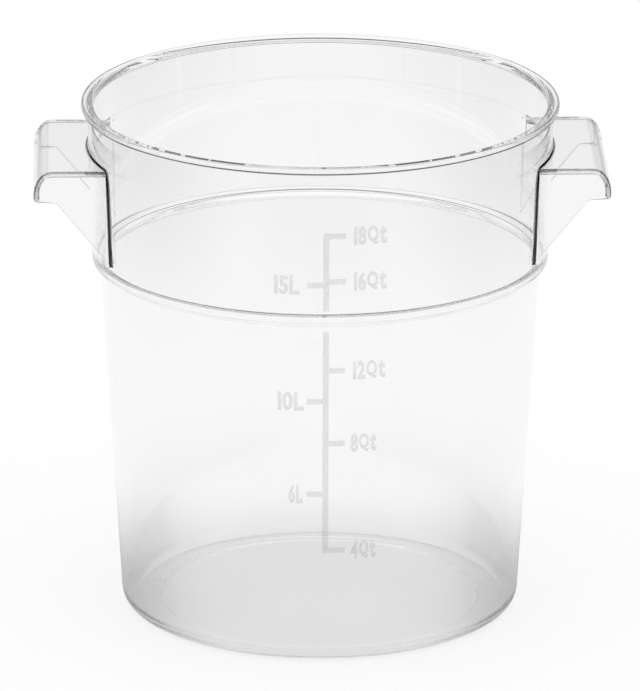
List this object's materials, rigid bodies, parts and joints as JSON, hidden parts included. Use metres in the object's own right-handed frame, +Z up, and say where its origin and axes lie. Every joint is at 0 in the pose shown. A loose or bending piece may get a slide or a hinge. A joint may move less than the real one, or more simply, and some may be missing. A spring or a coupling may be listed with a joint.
{
  "type": "dough proofing container",
  "caption": "Round clear plastic dough proofing container with tapered body, stepped collar, lid rim, hollow side handles and a front measuring scale.",
  "frame": {"origin": "centre of the base, on the surface the container stands on", "axes": "+Z up, +X to the right-hand handle, -Y to the side with the measuring scale"},
  "size_m": [0.3742, 0.3118, 0.343],
  "materials": {
    "clear_moulding": "clear polycarbonate, polished inside and out",
    "frosted_scale": "the same plastic with a frosted surface"
  },
  "bodies": {
    "root": {"vessel": "clear_moulding", "left_handle": "clear_moulding", "right_handle": "clear_moulding", "scale_spine": "frosted_scale", "quart_ticks": "frosted_scale", "litre_ticks": "frosted_scale"}
  },
  "joints": []
}
